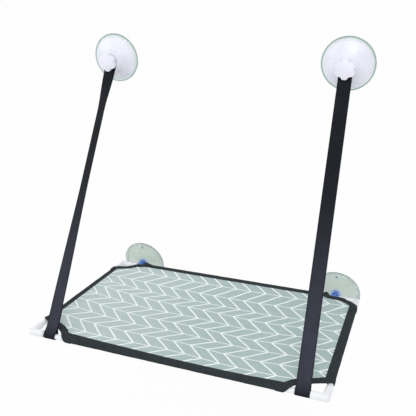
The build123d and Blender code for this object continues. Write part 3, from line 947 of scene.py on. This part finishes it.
class PERCH_OT_straps(Operator):
    """Thread the two webbing straps from the upper studs round the front tube"""
    bl_idname = "perch.straps"
    bl_label = "Straps"

    def execute(self, context):
        finish = webbing_finish()
        strap_piece("left_strap", -1, settings().straps.left_twist, finish)
        strap_piece("right_strap", 1, settings().straps.right_twist, finish)
        return {"FINISHED"}


# Cups and fittings

def turned_piece(name, profile, centre, finish):
    """A piece turned about the line through centre across the glass. The profile is a list of
    (radius, standoff) in millimetres. It starts and ends on the axis, or is a closed loop off it."""
    count = settings().fittings.cup_segments
    profile = np.array(profile, float)
    run = measure(profile) / 1000
    turn = 2 * math.pi * np.arange(count) / count
    solid = profile[0, 0] == 0
    circles = slice(1, -1) if solid else slice(None)
    radius, standoff = profile[circles].T[..., None]
    circle = centre[0] + radius * np.cos(turn), -standoff, centre[1] + radius * np.sin(turn)
    points = [*np.stack(np.broadcast_arrays(*circle), -1).reshape(-1, 3)]
    uvs = [(t * 0.02, way) for way in run[circles] for t in turn]
    last = len(points) - count
    pairs = [(k, (k + 1) % count) for k in range(count)]
    faces = []
    for a in range(0, last if solid else last + count, count):
        b = (a + count) % len(points)
        faces += [(a + k, a + after, b + after, b + k) for k, after in pairs]
    if solid:
        low, high = len(points), len(points) + 1
        points += [(centre[0], -standoff, centre[1]) for standoff in profile[[0, -1], 1]]
        uvs += [(0, 0), (0, run[-1])]
        faces += [(low, after, k) for k, after in pairs]
        faces += [(high, last + k, last + after) for k, after in pairs]
    return new_piece(name, np.array(points) / 1000, faces, uvs, [finish], sharp=40)


def smooth_profile(points, step):
    """A profile with rounded corners."""
    return [tuple(point) for point in soften(resample(points, step), 2)]


def cup_profile(radius, rim, hollow, lip, shoulder, foot, neck, top, room, shank):
    """Section of a suction cup: hollow face, sealing rim with fine grooves, beaded lip, sloping back,
    neck, and the room in the neck for what is moulded into it. Points are (radius, standoff), and
    room is its radius, its top and its bottom."""
    seal = radius - rim
    angles = np.radians((0, 12, 24, 36, 48, 60, 70, 78, 84, 88))
    face = [(seal * math.sin(angle), hollow * math.cos(angle)) for angle in angles]
    face += [(seal, 0.0), (seal + 0.8, 0.0), (seal + 1.2, 0.35), (seal + 1.6, 0.0), (seal + 3.0, 0.0),
             (seal + 3.4, 0.35), (seal + 3.8, 0.0), (radius - 0.7, 0.0), (radius - 0.15, 0.25),
             (radius, 0.8)]
    bead = [(radius - 0.1, lip + 0.3), (radius - 0.6, lip + 0.75), (radius - 1.4, lip + 0.8),
            (radius - 2.2, lip + 0.35)]
    slope = smooth_profile([(radius - 2.4, lip + 0.3), shoulder, foot], 2.0)
    stem = [(neck + 1.2, foot[1] + 0.15), (neck + 0.3, foot[1] + 0.8), (neck, foot[1] + 1.8),
            (neck, top - 0.8), (neck - 0.25, top - 0.25), (neck - 0.8, top), (shank, top),
            (shank, room[1]), (room[0], room[1]), (room[0], room[2]), (0, room[2])]
    return face + bead + slope + stem


class PERCH_OT_suction_cups(Operator):
    """Turn the four clear soft cups"""
    bl_idname = "perch.suction_cups"
    bl_label = "Suction cups"

    def execute(self, context):
        s = settings().fittings
        upper = cup_profile(radius=50.0, rim=6.0, hollow=6.0, lip=1.4, shoulder=(35.0, 5.6),
                            foot=(15.0, 11.6), neck=13.0, top=17.0, room=(9.1, 11.1, 8.4), shank=4.1)
        lower = cup_profile(radius=52.5, rim=6.5, hollow=5.5, lip=1.5, shoulder=(32.5, 5.0),
                            foot=(15.0, 9.2), neck=10.5, top=15.3, room=(7.1, 11.1, 8.4), shank=5.1)
        # the radii place each cup's painted edge shade
        clear_upper = clear_finish("clear_upper_cup", s.cup, s.rim, (0.0462, 0.0487),
                                   (STUD_X / 1000, STUD_HEIGHT / 1000), 0.05, 0.97)
        clear_lower = clear_finish("clear_lower_cup", s.low_cup, s.low_rim_shade, (0.0505, 0.0520),
                                   (LOWER_X / 1000, 0.0), 0.12, 0.80, s.hanger)
        knop = [(0, 1.7), (1.9, 1.9), (2.1, 2.6), (2.1, 4.0), (1.8, 4.6), (1.1, 4.95), (0, 5.0)]
        nub = nub_finish()
        for side, sign in SIDES.items():
            high, low = (sign * STUD_X, STUD_HEIGHT), (sign * LOWER_X, 0.0)
            cup = turned_piece(f"upper_{side}_soft_cup", upper, high, clear_upper)
            finished(cup, "window", "clear_cup", f"upper_{side}_cup")
            cup = turned_piece(f"lower_{side}_soft_cup", lower, low, clear_lower)
            finished(cup, "window", "clear_cup", f"lower_{side}_cup")
            piece = turned_piece(f"{side}_nub", knop, (sign * LOWER_X, NUB_HEIGHT), nub)
            finished(piece, "window", "clear_cup")
        return {"FINISHED"}


def cover_profile():
    """Section of a cover: a raised rim, a shallow dome, the flare of the boss and the boss itself."""
    outside = [(43.0, 3.5), (44.6, 3.4), (45.3, 3.9), (45.4, 4.7), (44.9, 5.4), (44.0, 5.6),
               (43.0, 5.3), (42.2, 5.5)]
    dome = smooth_profile([(41.5, 5.8), (36.0, 8.6), (30.0, 11.8), (24.0, 14.5), (20.6, 18.8),
                           (18.6, 24.0), (17.6, 27.0), (16.6, 28.0)], 1.2)
    top = [(15.5, 28.0), (4.4, 28.0), (4.4, 25.8), (15.2, 25.8)]
    inside = smooth_profile([(16.2, 24.5), (18.2, 18.5), (21.8, 12.6), (28.0, 9.9), (34.0, 6.7),
                             (39.5, 4.0)], 1.5)
    return outside + dome + top + inside


class PERCH_OT_fittings(Operator):
    """Finish the tubes, elbows, hangers, covers, studs, washers and knobs"""
    bl_idname = "perch.fittings"
    bl_label = "Fittings"

    def execute(self, context):
        s = settings().fittings
        redress(white_finish("white_pipe", s.pipe, 0.38),
                "front_tube", "rear_tube", "left_side_tube", "right_side_tube")
        redress(white_finish("white_elbow", s.elbow, 0.28), *[f"{corner}_elbow" for corner in CORNERS])
        dome = white_finish("white_cover", s.cover, 0.22)
        for side, sign in SIDES.items():
            cover = turned_piece(f"{side}_dome_cover", cover_profile(), (sign * STUD_X, STUD_HEIGHT), dome)
            finished(cover, "window", "white_cover", f"{side}_cover")
        redress(white_finish("white_knob", s.knob, 0.3), *[f"{side}_knob" for side in SIDES])
        redress(steel_finish(), *[f"{side}_{kind}" for kind in ("stud", "washer") for side in SIDES])
        blue = clear_finish("clear_blue", s.hanger, s.hanger, (0.5, 0.6), (LOWER_X / 1000, 0.0), 0.08, 0.8)
        redress(blue, *[f"{side}_hanger" for side in SIDES])
        return {"FINISHED"}


# Stage

class PERCH_OT_stage(Operator):
    """Set the camera, the pale floor and the soft lights"""
    bl_idname = "perch.stage"
    bl_label = "Camera, floor and lights"

    def execute(self, context):
        scene = context.scene
        scene.view_settings.view_transform = "Standard"
        place_camera(scene)
        place_floor()
        light_world(scene)
        place_lamps(scene)
        return {"FINISHED"}


def place_camera(scene):
    """The camera stands in front of the glass, to the right and above."""
    data = bpy.data.cameras.new("camera")
    data.lens, data.sensor_width = 49.825, 36.0
    data.clip_end = 50.0
    camera = bpy.data.objects.new("camera", data)
    right = (0.93213, 0.35666, -0.06262)
    up = (-0.11339, 0.45174, 0.88492)
    back = (0.3439, -0.81776, 0.46152)
    turn = Matrix((right, up, back)).transposed().to_4x4()
    camera.matrix_world = Matrix.Translation((0.3918865, -1.0657002, 0.7750167)) @ turn
    scene.collection.objects.link(camera)
    scene.camera = camera


def place_floor():
    """A wide pale floor below the perch, almost pure white to the camera."""
    s = settings().stage
    level = cad_box[0][2] - s.floor_drop
    corners = [(-30, -30), (30, -30), (30, 30), (-30, 30)]
    f = Finish("pale_floor", Specular_IOR_Level=0.1)
    cloud = f.noise(f.place(), 1.5, 3.0)
    material = f.finish(f.mix(cloud, s.floor, tint(s.floor, 0.985)), 0.85)
    glow = f.get("Emission", {"Color": (1.0, 1.0, 1.0), "Strength": 1.0})
    shown = f.get("MixShader", {0: f.seen() * 0.95, 1: Value(f, f.shader.outputs[0]), 2: glow})
    f.put(f.tree.nodes["Material Output"].inputs["Surface"], shown)
    floor = new_piece("floor", [(x, y, level) for x, y in corners], [(0, 1, 2, 3)], corners, [material])


def light_world(scene):
    """White where the camera, a reflection or a clear piece looks past the perch, and a softer grey
    as light."""
    scene.world = bpy.data.worlds.new("studio")
    w = Nodes(scene.world)
    w.tree.nodes.clear()
    strength = w.get("MapRange", {"Value": w.seen(), "To Min": settings().stage.dome, "To Max": 1.0})
    background = w.get("Background", {"Color": (1, 1, 1), "Strength": strength})
    w.node("OutputWorld", {"Surface": background})


def place_lamps(scene):
    """A wide key lamp above the camera and a weaker one from the left."""
    middle = Vector((0, -0.15, 0.2))
    lamps = (("key_lamp", (0.6, -1.5, 2.2), 1.6, 1.0), ("side_lamp", (-1.8, -0.9, 1.2), 1.4, 0.35))
    for name, place, size, share in lamps:
        data = bpy.data.lights.new(name, "AREA")
        data.shape, data.size = "DISK", size
        data.energy = settings().stage.key * share
        lamp = bpy.data.objects.new(name, data)
        lamp.location = place
        lamp.rotation_mode = "QUATERNION"
        lamp.rotation_quaternion = (middle - Vector(place)).to_track_quat("-Z", "Y")
        scene.collection.objects.link(lamp)


class PerchSettings(PropertyGroup):
    """All settings of the perch."""
    sling: PointerProperty(type=SlingSettings)
    straps: PointerProperty(type=StrapSettings)
    fittings: PointerProperty(type=FittingSettings)
    stage: PointerProperty(type=StageSettings)


class PERCH_PT_sidebar(Panel):
    """Settings and steps of the perch"""
    bl_idname = "PERCH_PT_sidebar"
    bl_label = "Window cat perch"
    bl_space_type = "VIEW_3D"
    bl_region_type = "UI"
    bl_category = "Perch"

    def draw(self, context):
        for step in STEPS:
            self.layout.operator(step.bl_idname)
        everything = context.scene.perch_settings
        for name in ("sling", "straps", "fittings", "stage"):
            box = self.layout.box()
            box.label(text=name.capitalize())
            group = getattr(everything, name)
            for key in group.bl_rna.properties.keys():
                if key not in ("name", "rna_type"):
                    box.prop(group, key)


STEPS = (PERCH_OT_sling_panel, PERCH_OT_sleeves, PERCH_OT_tapes, PERCH_OT_straps, PERCH_OT_suction_cups,
         PERCH_OT_fittings, PERCH_OT_stage)
CLASSES = (SlingSettings, StrapSettings, FittingSettings, StageSettings, PerchSettings, *STEPS,
           PERCH_PT_sidebar)


def register():
    for cls in CLASSES:
        bpy.utils.register_class(cls)
    bpy.types.Scene.perch_settings = PointerProperty(type=PerchSettings)


def unregister():
    del bpy.types.Scene.perch_settings
    for cls in reversed(CLASSES):
        bpy.utils.unregister_class(cls)


def main():
    register()
    for step in STEPS:
        category, name = step.bl_idname.split(".")
        getattr(getattr(bpy.ops, category), name)()


if __name__ == "__main__":
    main()
